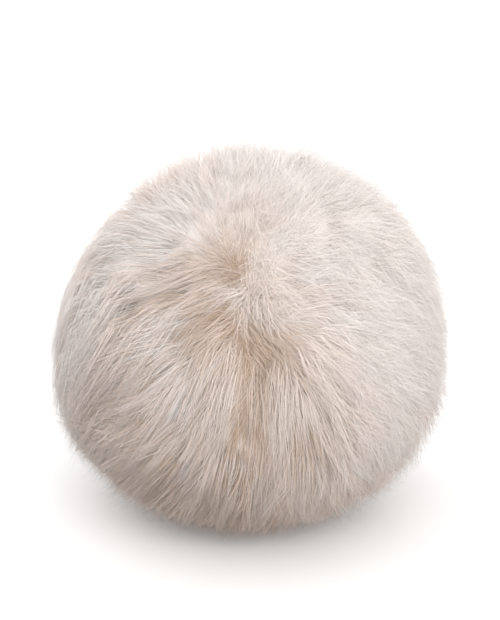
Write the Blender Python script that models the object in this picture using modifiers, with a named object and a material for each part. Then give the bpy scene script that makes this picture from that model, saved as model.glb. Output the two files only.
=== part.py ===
"""A gathered fur pom pom with a press stud sewn under it.

Metres, +Z up. The origin is on the surface that the ball stands on, under its middle.
The stud's knob points down, and its flat end is level with the lowest locks.
"""

import math
import random

import bmesh
import bpy
from mathutils import Vector

# The fur ball: the tips of its locks lie on a round form, tall above its widest level and
# slumped below it, where the surface cuts it level.
BALL_WIDTH = 0.121
WIDEST_LEVEL = 0.044
UPPER_HEIGHT = 0.066
LOWER_HEIGHT = 0.047      # more than the widest level, so that the surface cuts the form level
LOWER_FULLNESS = 2.4      # 2 would be an ellipse, and more is squarer
CORE_RADIUS = 0.041
CORE_CENTRE = Vector((0, 0, WIDEST_LEVEL))
CORE_SEAT = 0.0065        # height of the flat patch that the backing is sewn to
PATCH_POINTS = 12         # corners of that flat patch
SPREAD_POINTS = 150       # even points on the whole core, before the patch takes its share
POINT_JITTER = 0.2        # how far a point strays from its even place, as a share of the spacing
PATCH_MARGIN = 0.6        # spacings between the flat patch and the nearest even point
LOCK_PARTING = 0.0006     # half the gap between two locks at their roots
LONGEST_TRIM = 0.07       # share of its length that a lock may be cut shorter by

# Rings of a lock: how far out along it, and how wide against a lock that fills its place.
LOCK_RINGS = [
    {"along": 0.50, "width": 0.93},
    {"along": 0.78, "width": 0.74},
    {"along": 0.94, "width": 0.40},
    {"along": 1.00, "width": 0.08},
]
FLOOR_TIP_WIDTH = 0.38    # tips that stand on the surface are pressed wider
FLOOR_CONTACT = 0.0004    # a lock ending lower than this stands on the surface
TIP_STRAY = 0.3           # how far a tip leans off its root's middle, as a share of the root

# The lie of the pile: away from the crown on the front, and down, then outward under the ball.
CROWN = {"azimuth": 0, "elevation": 33}
COMB_ANGLE = 0.26         # lean of the tips at right angles to the crown, in radians
COMB_BEND = 1.5           # above 1, the lean gathers towards the tips
COMB_FADE = (-0.85, -0.25)
DROOP_ANGLE = 0.20
DROOP_BEND = 2
DROOP_MEETS = math.radians(140)
HOLLOW_LEAN = 0.075       # how far the pile round a hollow leans away from it, in radians

# Broad tufts and hollows. Azimuth turns from the front (-Y) towards +X, in degrees.
SWELLS = [
    {"azimuth": -12, "elevation": 53, "spread": 11, "height": -0.0070},
    {"azimuth": -33, "elevation": 46, "spread": 10, "height": -0.0050},
    {"azimuth": 10, "elevation": 3, "spread": 13, "height": -0.0040},
    {"azimuth": -63, "elevation": 38, "spread": 15, "height": 0.0020},
    {"azimuth": -63, "elevation": 60, "spread": 9, "height": -0.0040},
    {"azimuth": -33, "elevation": 9, "spread": 11, "height": -0.0040},
    {"azimuth": 38, "elevation": 52, "spread": 28, "height": 0.0010},
    {"azimuth": 104, "elevation": 20, "spread": 12, "height": -0.0040},
    {"azimuth": 152, "elevation": 38, "spread": 12, "height": -0.0050},
    {"azimuth": -148, "elevation": 8, "spread": 14, "height": -0.0045},
]

# The press stud, turned about Z, with its open side down.
STUD_RADIUS = 0.0105
BACKING_RADIUS = 0.0150
BACKING_THICKNESS = 0.0018
CLEARANCE = 0.0003        # between one piece and the next
PLATE_THICKNESS = 0.0006
ROLL_RADIUS = 0.00055     # of the rolled edge
ROLL_DROP = 0.00105       # from the plate's upper face to the middle of the roll
ROLL_START = 75           # degrees round the roll's section, from its outer side up
ROLL_END = -180
ROLL_STEP = 30
SHOULDER = 0.0012         # width of the bend between the flat plate and its roll
KNOB_RADIUS = 0.0032
KNOB_FLAT_RADIUS = 0.0019
KNOB_FOOT_RADIUS = 0.0029
KNOB_FOOT_HEIGHT = 0.0003
KNOB_WAIST_RADIUS = 0.0024
KNOB_HEAD_LEVEL = 0.0013  # height of the head's widest ring
KNOB_FULLNESS = 0.7       # below 1, the head is fuller than a ball
WIRE_RADIUS = 0.00025

SLOT_CIRCLE = 0.70        # share of the stud's radius where the sewing slots lie
SLOT_ANGLES = {"back": 79, "left": 169, "front": 259, "right": 349}
SLOT_LENGTH = 0.0036
SLOT_WIDTH = 0.0024
STITCH_MARGIN = 0.0004    # between a stitch and its slot's wall
CUTTER_DEPTH = 0.004

# Bends of the two spring wires, as shares of the stud's radius, from the rim to the inner end.
SPRING_BENDS = {
    "spring_right": [
        (0.80, 0.20), (0.72, -0.16), (0.46, -0.49), (0.31, -0.57),
        (0.24, -0.40), (0.37, -0.06), (0.38, 0.23), (0.38, 0.46),
    ],
    "spring_left": [
        (-0.67, 0.49), (-0.57, 0.42), (-0.58, -0.23), (-0.48, -0.35),
        (-0.38, -0.10), (-0.37, 0.14), (-0.32, 0.35), (-0.19, 0.61),
    ],
}
WIRE_STEPS = 4            # points between one bend and the next

BACKING_TOP = CORE_SEAT - CLEARANCE
BACKING_BOTTOM = BACKING_TOP - BACKING_THICKNESS
PLATE_TOP = BACKING_BOTTOM - CLEARANCE
PLATE_BOTTOM = PLATE_TOP - PLATE_THICKNESS
KNOB_TOP = PLATE_BOTTOM - CLEARANCE
WIRE_HEIGHT = KNOB_TOP - WIRE_RADIUS
ROUND_STEPS = 48


def clear_scene():
    for item in list(bpy.data.objects):
        bpy.data.objects.remove(item)


def new_collection(name):
    collection = bpy.data.collections.new(name)
    bpy.context.scene.collection.children.link(collection)
    return collection


def new_material(name, colour, roughness, metallic=0.0):
    material = bpy.data.materials.new(name)
    material.use_nodes = True
    shader = material.node_tree.nodes["Principled BSDF"]
    shader.inputs["Base Color"].default_value = (*colour, 1.0)
    shader.inputs["Roughness"].default_value = roughness
    shader.inputs["Metallic"].default_value = metallic
    return material


def add_object(name, data, collection, material=None):
    """Links a mesh or curve under this name, with its own material."""
    item = bpy.data.objects.new(name, data)
    collection.objects.link(item)
    if material:
        data.materials.append(material)
    return item


def move_to(collection, item):
    """Takes an object that an operator made out of its collection and into this one."""
    for holder in item.users_collection:
        holder.objects.unlink(item)
    collection.objects.link(item)


def mesh_from(bm, name):
    mesh = bpy.data.meshes.new(name)
    bm.to_mesh(mesh)
    bm.free()
    return mesh


def shade_round(mesh):
    mesh.shade_smooth()
    mesh.set_sharp_from_angle(angle=math.radians(40))


def toward(azimuth, elevation):
    """The unit direction at these degrees: 0, 0 is the front and azimuth 90 is +X."""
    turn = math.radians(azimuth)
    rise = math.radians(elevation)
    return Vector((math.sin(turn) * math.cos(rise), -math.cos(turn) * math.cos(rise), math.sin(rise)))


def smooth_step(low, high, value):
    share = min(max((value - low) / (high - low), 0.0), 1.0)
    return share * share * (3 - 2 * share)


def turn_away(direction, pole, angle):
    """Turns a unit direction away from the pole, along the great circle through both."""
    aside = direction - pole * direction.dot(pole)
    if aside.length < 1e-9:
        return direction.copy()
    outward = aside.normalized() * direction.dot(pole) - pole * aside.length
    return direction * math.cos(angle) + outward * math.sin(angle)


def lie_of_pile(direction, along):
    """Where the pile that is rooted in this direction points, at this share of its length."""
    crown = toward(**CROWN)
    fade = smooth_step(*COMB_FADE, direction.z)
    combed = COMB_ANGLE * fade * along**COMB_BEND * math.sin(direction.angle(crown))
    leaning = turn_away(direction, crown, combed)
    for swell in SWELLS:
        if swell["height"] < 0:
            hollow = toward(swell["azimuth"], swell["elevation"])
            away = leaning.angle(hollow) / math.radians(swell["spread"])
            leaning = turn_away(leaning, hollow, HOLLOW_LEAN * along * away * math.exp(-away * away))
    top = Vector((0, 0, 1))
    from_top = leaning.angle(top)
    downward = math.sin(from_top) * math.sin(math.pi * from_top / DROOP_MEETS)
    return turn_away(leaning, top, DROOP_ANGLE * along**DROOP_BEND * downward)


def reach(direction):
    """Distance from the core's centre to where the tips end: the uneven ball, or the surface."""
    across = math.hypot(direction.x, direction.y) / (BALL_WIDTH / 2)
    upper = direction.z > 0
    height = UPPER_HEIGHT if upper else LOWER_HEIGHT
    fullness = 2 if upper else LOWER_FULLNESS
    distance = (across**fullness + (abs(direction.z) / height) ** fullness) ** (-1 / fullness)
    for swell in SWELLS:
        away = direction.angle(toward(swell["azimuth"], swell["elevation"]))
        distance += swell["height"] * math.exp(-((away / math.radians(swell["spread"])) ** 2))
    if not upper:
        distance = min(distance, WIDEST_LEVEL / max(-direction.z, 1e-6))
    return distance


def pile_point(direction, along):
    """A point of the pile: rooted in this direction, at this share of the way to its tip."""
    pointing = lie_of_pile(direction, along)
    length = reach(pointing) - CORE_RADIUS
    return CORE_CENTRE + pointing * (CORE_RADIUS + length * along)


def core_points(spread):
    """Even points over the core in a golden spiral, and a ring round its flat patch."""
    depth = CORE_CENTRE.z - CORE_SEAT
    patch_angle = math.acos(depth / CORE_RADIUS)
    spacing = math.sqrt(4 * math.pi / SPREAD_POINTS)
    points = []
    for index in range(SPREAD_POINTS):
        height = 1 - (2 * index + 1) / SPREAD_POINTS
        turn = index * math.pi * (3 - math.sqrt(5))
        flat = math.sqrt(1 - height * height)
        direction = Vector((flat * math.cos(turn), flat * math.sin(turn), height))
        direction += Vector([spread.uniform(-POINT_JITTER, POINT_JITTER) * spacing for _ in range(3)])
        direction.normalize()
        if direction.angle(Vector((0, 0, -1))) > patch_angle + PATCH_MARGIN * spacing:
            points.append(CORE_CENTRE + direction * CORE_RADIUS)
    patch_radius = CORE_RADIUS * math.sin(patch_angle)
    for index in range(PATCH_POINTS):
        turn = 2 * math.pi * index / PATCH_POINTS
        points.append(Vector((patch_radius * math.cos(turn), patch_radius * math.sin(turn), CORE_SEAT)))
    return points


def build_fur(collection):
    """The gathered core, with a three-sided lock standing on each of its facets."""
    spread = random.Random(11)
    bm = bmesh.new()
    for point in core_points(spread):
        bm.verts.new(point)
    bmesh.ops.convex_hull(bm, input=bm.verts)
    bmesh.ops.recalc_face_normals(bm, faces=bm.faces)
    roots = [face for face in bm.faces if face.calc_center_median().z > CORE_SEAT + 0.0005]
    bmesh.ops.inset_individual(bm, faces=roots, thickness=LOCK_PARTING)

    for root in roots:
        corners = [(vert.co - CORE_CENTRE).normalized() for vert in root.verts]
        middle = sum(corners, Vector()).normalized()
        on_floor = pile_point(middle, 1).z < FLOOR_CONTACT
        length = 1.0 if on_floor else 1.0 - spread.uniform(0, LONGEST_TRIM)
        stray = Vector([spread.uniform(-1, 1) for _ in range(3)])
        stray -= middle * stray.dot(middle)
        stray *= TIP_STRAY * (corners[0] - middle).length / stray.length
        face = root
        for ring in LOCK_RINGS:
            face = bmesh.ops.extrude_discrete_faces(bm, faces=[face])["faces"][0]
            is_tip = ring["along"] == 1
            width = FLOOR_TIP_WIDTH if is_tip and on_floor else ring["width"]
            centre = middle + stray * (1 - width)
            for vert, corner in zip(face.verts, corners):
                direction = (centre * (1 - width) + corner * width).normalized()
                vert.co = pile_point(direction, ring["along"] * length)

    mesh = mesh_from(bm, "fur")
    add_object("fur", mesh, collection, new_material("fur_pile", (0.70, 0.61, 0.55), 0.9))


def build_backing(collection):
    """The round fabric patch between the gathered fur and the stud."""
    bpy.ops.mesh.primitive_cylinder_add(
        vertices=ROUND_STEPS,
        radius=BACKING_RADIUS,
        depth=BACKING_THICKNESS,
        location=(0, 0, BACKING_BOTTOM + BACKING_THICKNESS / 2),
    )
    patch = bpy.context.object
    patch.name = "backing_patch"
    move_to(collection, patch)
    edge = patch.modifiers.new("Rounded edge", "BEVEL")
    edge.width = 0.3 * BACKING_THICKNESS
    edge.segments = 2
    edge.limit_method = "ANGLE"
    shade_round(patch.data)
    patch.data.materials.append(new_material("backing_cloth", (0.72, 0.66, 0.56), 0.9))


def turned(name, profile, collection, material):
    """Turns a profile of (radius, height) pairs, given down its outer side, about Z."""
    mesh = bpy.data.meshes.new(name)
    links = [(index, index + 1) for index in range(len(profile) - 1)]
    mesh.from_pydata([(radius, 0, height) for radius, height in profile], links, [])
    item = add_object(name, mesh, collection, material)
    screw = item.modifiers.new("Turn", "SCREW")
    screw.axis = "Z"
    screw.steps = ROUND_STEPS
    screw.render_steps = ROUND_STEPS
    screw.use_merge_vertices = True
    screw.merge_threshold = 0.00001
    return item


def add_slot_cutter(name, angle, cutters):
    """An oval cutter across the plate, its long side along the stud's edge."""
    turn = math.radians(angle)
    radius = SLOT_CIRCLE * STUD_RADIUS
    bpy.ops.mesh.primitive_cylinder_add(vertices=24, radius=1, depth=1)
    cutter = bpy.context.object
    cutter.name = name
    cutter.scale = (SLOT_WIDTH / 2, SLOT_LENGTH / 2, CUTTER_DEPTH)
    cutter.rotation_euler = (0, 0, turn)
    cutter.location = (radius * math.cos(turn), radius * math.sin(turn), PLATE_BOTTOM)
    move_to(cutters, cutter)
    cutter.hide_render = True
    cutter.display_type = "WIRE"
    return cutter


def build_plate(collection, cutters):
    """The stud's dish: a flat plate with a rolled edge and four sewing slots."""
    roll_middle = (STUD_RADIUS - ROLL_RADIUS, PLATE_TOP - ROLL_DROP)
    flat_radius = roll_middle[0] - SHOULDER
    roll = []
    for angle in range(ROLL_START, ROLL_END, -ROLL_STEP):
        turn = math.radians(angle)
        across = roll_middle[0] + ROLL_RADIUS * math.cos(turn)
        roll.append((across, roll_middle[1] + ROLL_RADIUS * math.sin(turn)))
    upper_side = [
        (0, PLATE_TOP),
        (flat_radius, PLATE_TOP),
        (flat_radius + SHOULDER / 2, PLATE_TOP - PLATE_THICKNESS / 4),
    ]
    lower_side = [
        (flat_radius + SHOULDER / 3, PLATE_BOTTOM - PLATE_THICKNESS / 6),
        (flat_radius, PLATE_BOTTOM),
        (0, PLATE_BOTTOM),
    ]
    bronze = new_material("dark_bronze", (0.06, 0.05, 0.035), 0.45, 1.0)
    plate = turned("stud_plate", upper_side + roll + lower_side, collection, bronze)
    for name, angle in SLOT_ANGLES.items():
        cut = plate.modifiers.new("Slot " + name, "BOOLEAN")
        cut.operation = "DIFFERENCE"
        cut.object = add_slot_cutter("slot_cutter_" + name, angle, cutters)


def build_knob(collection):
    """The round-headed knob: a foot against the plate, a waist, a full head and a flat end."""
    profile = [
        (0, KNOB_TOP),
        (KNOB_FOOT_RADIUS, KNOB_TOP),
        (KNOB_FOOT_RADIUS, KNOB_TOP - KNOB_FOOT_HEIGHT),
        (KNOB_WAIST_RADIUS, KNOB_TOP - 2 * KNOB_FOOT_HEIGHT),
    ]
    for angle in range(40, -61, -20):
        turn = math.radians(angle)
        height = KNOB_HEAD_LEVEL * (1 + math.sin(turn))
        profile.append((KNOB_RADIUS * math.cos(turn) ** KNOB_FULLNESS, height))
    profile.append((KNOB_FLAT_RADIUS, 0))
    profile.append((0, 0))
    brass = new_material("antique_brass", (0.30, 0.22, 0.10), 0.35, 1.0)
    turned("stud_knob", profile, collection, brass)


def smooth_path(bends, steps):
    """Points along the Catmull-Rom curve through these bends."""
    ends = [bends[0] * 2 - bends[1], *bends, bends[-1] * 2 - bends[-2]]
    path = []
    for before, start, finish, after in zip(ends, ends[1:], ends[2:], ends[3:]):
        for step in range(steps):
            share = step / steps
            path.append(
                start
                + (finish - before) * (0.5 * share)
                + (before * 2 - start * 5 + finish * 4 - after) * (0.5 * share**2)
                + (start * 3 - before - finish * 3 + after) * (0.5 * share**3)
            )
    path.append(bends[-1])
    return path


def build_springs(collection):
    """The two bent wires that lie on the plate, one each side of the knob."""
    for name, bends in SPRING_BENDS.items():
        corners = [Vector((x * STUD_RADIUS, y * STUD_RADIUS, WIRE_HEIGHT)) for x, y in bends]
        path = smooth_path(corners, WIRE_STEPS)
        curve = bpy.data.curves.new(name, "CURVE")
        curve.dimensions = "3D"
        curve.bevel_depth = WIRE_RADIUS
        curve.bevel_resolution = 2
        curve.use_fill_caps = True
        spline = curve.splines.new("POLY")
        spline.points.add(len(path) - 1)
        for point, place in zip(spline.points, path):
            point.co = (*place, 1)
        steel = new_material(name + "_wire", (0.10, 0.085, 0.06), 0.4, 1.0)
        add_object(name, curve, collection, steel)


def build_stitches(collection):
    """The thread that fills each slot, between the plate's two faces."""
    radius = SLOT_CIRCLE * STUD_RADIUS
    for name, angle in SLOT_ANGLES.items():
        turn = math.radians(angle)
        bpy.ops.mesh.primitive_uv_sphere_add(segments=16, ring_count=8, radius=1)
        stitch = bpy.context.object
        stitch.name = "stitch_" + name
        half_width = SLOT_WIDTH / 2 - STITCH_MARGIN
        half_length = SLOT_LENGTH / 2 - STITCH_MARGIN
        stitch.scale = (half_width, half_length, PLATE_THICKNESS / 2)
        stitch.rotation_euler = (0, 0, turn)
        stitch.location = (
            radius * math.cos(turn),
            radius * math.sin(turn),
            (PLATE_TOP + PLATE_BOTTOM) / 2,
        )
        move_to(collection, stitch)
        stitch.data.shade_smooth()
        stitch.data.materials.append(new_material("thread_" + name, (0.62, 0.60, 0.56), 0.8))


def main():
    clear_scene()
    collection = new_collection("pom_pom")
    cutters = new_collection("cutters")
    build_fur(collection)
    build_backing(collection)
    build_plate(collection, cutters)
    build_knob(collection)
    build_springs(collection)
    build_stitches(collection)


main()
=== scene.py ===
import math

import bmesh
import bpy
import numpy as np
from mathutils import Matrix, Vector


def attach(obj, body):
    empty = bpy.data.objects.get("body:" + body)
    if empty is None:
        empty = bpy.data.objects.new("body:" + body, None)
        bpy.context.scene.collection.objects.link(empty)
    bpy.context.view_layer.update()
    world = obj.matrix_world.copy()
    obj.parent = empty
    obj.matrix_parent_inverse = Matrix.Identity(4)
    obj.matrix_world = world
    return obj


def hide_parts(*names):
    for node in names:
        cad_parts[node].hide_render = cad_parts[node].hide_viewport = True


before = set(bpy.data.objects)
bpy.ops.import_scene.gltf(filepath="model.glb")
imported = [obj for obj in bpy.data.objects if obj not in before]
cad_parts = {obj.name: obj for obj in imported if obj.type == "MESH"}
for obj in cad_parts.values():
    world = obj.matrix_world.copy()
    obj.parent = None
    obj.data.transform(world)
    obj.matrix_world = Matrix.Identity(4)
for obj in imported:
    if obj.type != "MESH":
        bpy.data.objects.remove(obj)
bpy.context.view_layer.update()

chance = np.random.default_rng(20)


# studio: the floor, the lights and the camera

studio = {
    "cameraRise": 20.0,         # degrees above the floor
    "cameraDistance": 0.455,    # metres from the ball's centre
    "ballLow": 0.0168,          # how far under the picture's middle the ball's centre sits
    "ballLeft": 0.0006,
    "lens": 85.0,
    "floorSize": 12.0,
    "floorColour": (0.98, 0.98, 0.98, 1.0),
    "skyColour": (1.0, 0.995, 0.99, 1.0),
    "skyStrength": 1.07,
    "underColour": (0.26, 0.21, 0.175, 1.0),
    "skyEdge": (-0.50, -0.02),  # heights between which the colour under the floor turns into the sky's
    "sunSoftness": 60.0,        # degrees that each sun spans, seen from the ball
}

suns = [
    {"name": "key", "strength": 1.22, "azimuth": 33.0, "elevation": 26.0, "colour": (1.0, 0.985, 0.965)},
    {"name": "rim", "strength": 0.62, "azimuth": -118.0, "elevation": 42.0, "colour": (1.0, 0.995, 0.99)},
    {"name": "back", "strength": 0.36, "azimuth": 146.0, "elevation": 34.0, "colour": (1.0, 0.995, 0.99)},
]


def toward(azimuth, elevation):
    # the unit direction at these degrees: 0, 0 is the front (-Y) and azimuth 90 is +X
    turn, rise = np.radians(azimuth), np.radians(elevation)
    return np.array([np.sin(turn) * np.cos(rise), -np.cos(turn) * np.cos(rise), np.sin(rise)])


def facing(direction):
    # the turn of a lamp or a camera that looks back along this direction, with its own Y upward
    return Vector(direction).to_track_quat("Z", "Y").to_euler()


def buildFloor():
    # one wide square at the level the ball stands on
    half = studio["floorSize"] / 2
    mesh = bpy.data.meshes.new("floor")
    corners = [(-half, -half, 0), (half, -half, 0), (half, half, 0), (-half, half, 0)]
    mesh.from_pydata(corners, [], [(0, 1, 2, 3)])
    floor = bpy.data.objects.new("floor", mesh)
    bpy.context.scene.collection.objects.link(floor)
    paper, tree, shader = newMaterial("paleFloor")
    shader.inputs["Base Color"].default_value = studio["floorColour"]
    shader.inputs["Roughness"].default_value = 0.9
    mesh.materials.append(paper)
    floor.visible_diffuse = False     # the sky's lower half stands in for its bounce


def buildLight():
    # wide soft suns, and a sky that is pale down to just under the horizon and dim below it
    for sun in suns:
        light = bpy.data.lights.new(sun["name"], "SUN")
        light.energy = sun["strength"]
        light.angle = math.radians(studio["sunSoftness"])
        light.color = sun["colour"]
        lamp = bpy.data.objects.new(sun["name"], light)
        bpy.context.scene.collection.objects.link(lamp)
        lamp.rotation_euler = facing(toward(sun["azimuth"], sun["elevation"]))

    world = bpy.data.worlds.new("softSky")
    bpy.context.scene.world = world
    world.use_nodes = True
    tree = world.node_tree
    place = addNode(tree, "ShaderNodeTexCoord").outputs["Generated"]
    height = addNode(tree, "ShaderNodeSeparateXYZ", {"Vector": place}).outputs["Z"]
    edge = ramp(tree, height, *studio["skyEdge"])
    background = tree.nodes["Background"]
    shown = mixColour(tree, edge, studio["underColour"], studio["skyColour"])
    tree.links.new(shown, background.inputs["Color"])
    background.inputs["Strength"].default_value = studio["skyStrength"]


def buildCamera():
    # at its distance from the ball's centre, then moved up and aside in its own frame
    lens = bpy.data.cameras.new("camera")
    lens.lens = studio["lens"]
    lens.sensor_width = 36.0
    lens.clip_start = 0.01
    camera = bpy.data.objects.new("camera", lens)
    bpy.context.scene.collection.objects.link(camera)
    away = Vector(toward(0, studio["cameraRise"]))
    camera.rotation_euler = facing(away)
    shift = camera.rotation_euler.to_matrix() @ Vector((studio["ballLeft"], studio["ballLow"], 0))
    camera.location = Vector(ballCentre) + away * studio["cameraDistance"] + shift
    bpy.context.scene.camera = camera


def buildStudio():
    # colours are shown as they are, without a film look
    bpy.context.scene.view_settings.view_transform = "Standard"
    bpy.context.scene.view_settings.look = "None"
    buildFloor()
    buildLight()
    buildCamera()
    print("studio ready")


# small helpers for meshes

def newPiece(name, points, faces, material):
    # puts arrays of points and equal-sided faces, given as a list of arrays, into one object
    mesh = bpy.data.meshes.new(name)
    corners = np.concatenate([block.ravel() for block in faces]).astype(np.int32)
    counts = np.concatenate([np.full(len(block), block.shape[1]) for block in faces]).astype(np.int32)
    starts = np.concatenate([[0], np.cumsum(counts)[:-1]]).astype(np.int32)
    mesh.vertices.add(len(points))
    mesh.vertices.foreach_set("co", np.ascontiguousarray(points, np.float32).ravel())
    mesh.loops.add(len(corners))
    mesh.loops.foreach_set("vertex_index", corners)
    mesh.polygons.add(len(counts))
    mesh.polygons.foreach_set("loop_start", starts)
    mesh.polygons.foreach_set("use_smooth", np.full(len(counts), True))
    mesh.update(calc_edges=True)
    mesh.validate()
    mesh.materials.append(material)
    piece = bpy.data.objects.new(name, mesh)
    bpy.context.scene.collection.objects.link(piece)
    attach(piece, "root")
    return piece


def unit(vectors):
    # each row divided by its own length
    return vectors / np.maximum(np.linalg.norm(vectors, axis=-1, keepdims=True), 1e-12)


def smoothStep(low, high, values):
    # 0 up to low, 1 from high on, and three squares less two cubes of the share between them
    share = np.clip((values - low) / (high - low), 0, 1)
    return share * share * (3 - 2 * share)


def waves(directions, pitch, seed):
    # smooth noise, mostly between -1 and 1: the sum of six plane waves of random heading, divided by 2.6
    draw = np.random.default_rng(seed)
    heading = unit(draw.normal(size=(6, 3))) * pitch
    phase = draw.uniform(0, 2 * np.pi, 6)
    return np.sin(directions @ heading.T + phase).sum(axis=-1) / 2.6


# the form of the pile

furBall = {
    "width": 0.1190,
    "widestLevel": 0.044,
    "upperHeight": 0.0668,
    "lowerHeight": 0.046,
    "lowerFullness": 2.2,
    "crown": {"start": (-5, 50), "end": (5, 27)},   # a short line that the pile is combed away from
    "comb": (0.15, 0.50),       # lean of the tips on the fluffed and the combed side, in radians
    "combStart": (0.50, 0.22),  # how far from the crown the lean sets in, in radians
    "combEnd": 0.9,             # and how far before the crown's far side it dies out
    "combBend": 1.4,            # above 1, the lean gathers towards the tips
    "combFades": (-0.85, -0.25),    # heights on a unit ball between which the lean comes in
    "combedSide": (-38, -5),    # azimuth and elevation of its middle
    "combedEdge": (0.12, 0.72), # cosines to that middle between which the combed side begins
    "combedUnder": (0.15, 0.55),    # depths on a unit ball between which the pile is combed all round
    "combedUnderMost": 0.9,
    "droop": 0.20,              # lean down the sides, in radians
    "droopBend": 2.0,
    "droopMeets": 140.0,        # degrees from the top where it turns from inward to outward
}
ballCentre = np.array([0, 0, furBall["widestLevel"]])

# broad swells, and hollows where the height is below 0
swells = [
    {"azimuth": -10, "elevation": 54, "spread": 9, "height": -0.0038},
    {"azimuth": -14, "elevation": 35, "spread": 7, "height": -0.0030},
    {"azimuth": -33, "elevation": 47, "spread": 9, "height": -0.0050},
    {"azimuth": 10, "elevation": 3, "spread": 13, "height": -0.0035},
    {"azimuth": -63, "elevation": 38, "spread": 15, "height": 0.0022},
    {"azimuth": -63, "elevation": 60, "spread": 9, "height": -0.0040},
    {"azimuth": -37, "elevation": 11, "spread": 9, "height": -0.0050},
    {"azimuth": -17, "elevation": 14, "spread": 10, "height": 0.0020},
    {"azimuth": -30, "elevation": -2, "spread": 8, "height": 0.0025},
    {"azimuth": -14, "elevation": -3, "spread": 8, "height": 0.0025},
    {"azimuth": -28, "elevation": -14, "spread": 7, "height": -0.0035},
    {"azimuth": -12, "elevation": -15, "spread": 7, "height": -0.0035},
    {"azimuth": -82, "elevation": 4, "spread": 32, "height": 0.0013},
    {"azimuth": 80, "elevation": 42, "spread": 30, "height": 0.0048},
    {"azimuth": 180, "elevation": 72, "spread": 34, "height": 0.0018},
    {"azimuth": 124, "elevation": 18, "spread": 12, "height": -0.0040},
    {"azimuth": 152, "elevation": 38, "spread": 12, "height": -0.0050},
    {"azimuth": -148, "elevation": 8, "spread": 14, "height": -0.0045},
]

# lines where the pile parts, from one direction to another; lean is in radians, the rest in degrees
partings = [
    {"start": (-20, 62), "end": (-7, 50), "spread": 6.5, "lean": 0.06, "depth": 0.0040},
    {"start": (-7, 50), "end": (5, 27), "spread": 4.5, "lean": 0.12, "depth": 0.0030},
    {"start": (5, 27), "end": (12, 4), "spread": 5.0, "lean": 0.10, "depth": 0.0030},
    {"start": (4, 24), "end": (1, 0), "spread": 4.0, "lean": 0.09, "depth": 0.0025},
    {"start": (-47, 50), "end": (-28, 44), "spread": 5.5, "lean": 0.03, "depth": 0.0030},
    {"start": (-42, 8), "end": (-27, 17), "spread": 4.5, "lean": 0.12, "depth": 0.0030},
    {"start": (-30, -10), "end": (-31, -30), "spread": 3.5, "lean": 0.12, "depth": 0.0030},
    {"start": (-16, -6), "end": (-17, -30), "spread": 3.5, "lean": 0.12, "depth": 0.0030},
    {"start": (-5, -10), "end": (-5, -32), "spread": 3.0, "lean": 0.12, "depth": 0.0030},
    {"start": (6, -6), "end": (5, -30), "spread": 3.5, "lean": 0.12, "depth": 0.0030},
    {"start": (16, -12), "end": (15, -32), "spread": 3.0, "lean": 0.12, "depth": 0.0030},
    {"start": (25, -8), "end": (24, -30), "spread": 3.5, "lean": 0.12, "depth": 0.0030},
    {"start": (37, -12), "end": (36, -32), "spread": 3.5, "lean": 0.12, "depth": 0.0030},
    {"start": (118, 34), "end": (132, 6), "spread": 5.5, "lean": 0.14, "depth": 0.0035},
    {"start": (150, 56), "end": (168, 28), "spread": 6.0, "lean": 0.18, "depth": 0.0045},
    {"start": (-160, 18), "end": (-138, -4), "spread": 6.0, "lean": 0.14, "depth": 0.0035},
    {"start": (-118, 50), "end": (-98, 36), "spread": 5.0, "lean": 0.12, "depth": 0.0030},
]

# patches of painted light above 0, paler hair, and painted shade below it, darker hair: painted shade in the
# hollows, partings and underside, and painted highlights and sheen on the lit sides, the limbs and a few
# locks, laid over some of the hair's own tone
paintedShades = [
    {"azimuth": -10, "elevation": 56, "spread": 9, "shade": -1.3},
    {"azimuth": 6, "elevation": 58, "spread": 8, "shade": 0.3},
    {"azimuth": -13, "elevation": 34, "spread": 8, "shade": -1.5},
    {"azimuth": 4, "elevation": 24, "spread": 8, "shade": -1.4},
    {"azimuth": 0, "elevation": 8, "spread": 9, "shade": -0.8},
    {"azimuth": -34, "elevation": 47, "spread": 7, "shade": -0.8},
    {"azimuth": -37, "elevation": 12, "spread": 9, "shade": -1.0},
    {"azimuth": -64, "elevation": 38, "spread": 15, "shade": 0.5},
    {"azimuth": -17, "elevation": 16, "spread": 9, "shade": 0.7},
    {"azimuth": -26, "elevation": 29, "spread": 8, "shade": 0.35},
    {"azimuth": -6, "elevation": 44, "spread": 4, "shade": 0.6},
    {"azimuth": 6, "elevation": -5, "spread": 8, "shade": -0.7},
    {"azimuth": 62, "elevation": 38, "spread": 42, "shade": 0.85},
    {"azimuth": 0, "elevation": 88, "spread": 26, "shade": 0.5},
    {"azimuth": 44, "elevation": -8, "spread": 18, "shade": 0.5},
    {"azimuth": -34, "elevation": 62, "spread": 10, "shade": 0.8},
    {"azimuth": -60, "elevation": 56, "spread": 14, "shade": 0.6},
    {"azimuth": -90, "elevation": 24, "spread": 24, "shade": 0.8},
    {"azimuth": -78, "elevation": -14, "spread": 17, "shade": 0.6},
    {"azimuth": 90, "elevation": 2, "spread": 26, "shade": 0.5},
    {"azimuth": -28, "elevation": -13, "spread": 6, "shade": -0.8},
    {"azimuth": -12, "elevation": -15, "spread": 7, "shade": -1.0},
    {"azimuth": -26, "elevation": -1, "spread": 6, "shade": 0.4},
    {"azimuth": -10, "elevation": -3, "spread": 6, "shade": 0.4},
    {"azimuth": 20, "elevation": -15, "spread": 10, "shade": 0.5},
    {"azimuth": -56, "elevation": -10, "spread": 11, "shade": 0.5},
    {"azimuth": 0, "elevation": -40, "spread": 28, "shade": -0.45},
    {"azimuth": 125, "elevation": 20, "spread": 9, "shade": -0.6},
    {"azimuth": 160, "elevation": 42, "spread": 10, "shade": -0.7},
    {"azimuth": -170, "elevation": 10, "spread": 16, "shade": 0.5},
    {"azimuth": -148, "elevation": 6, "spread": 9, "shade": -0.5},
    {"azimuth": -106, "elevation": 44, "spread": 8, "shade": -0.5},
]

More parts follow.
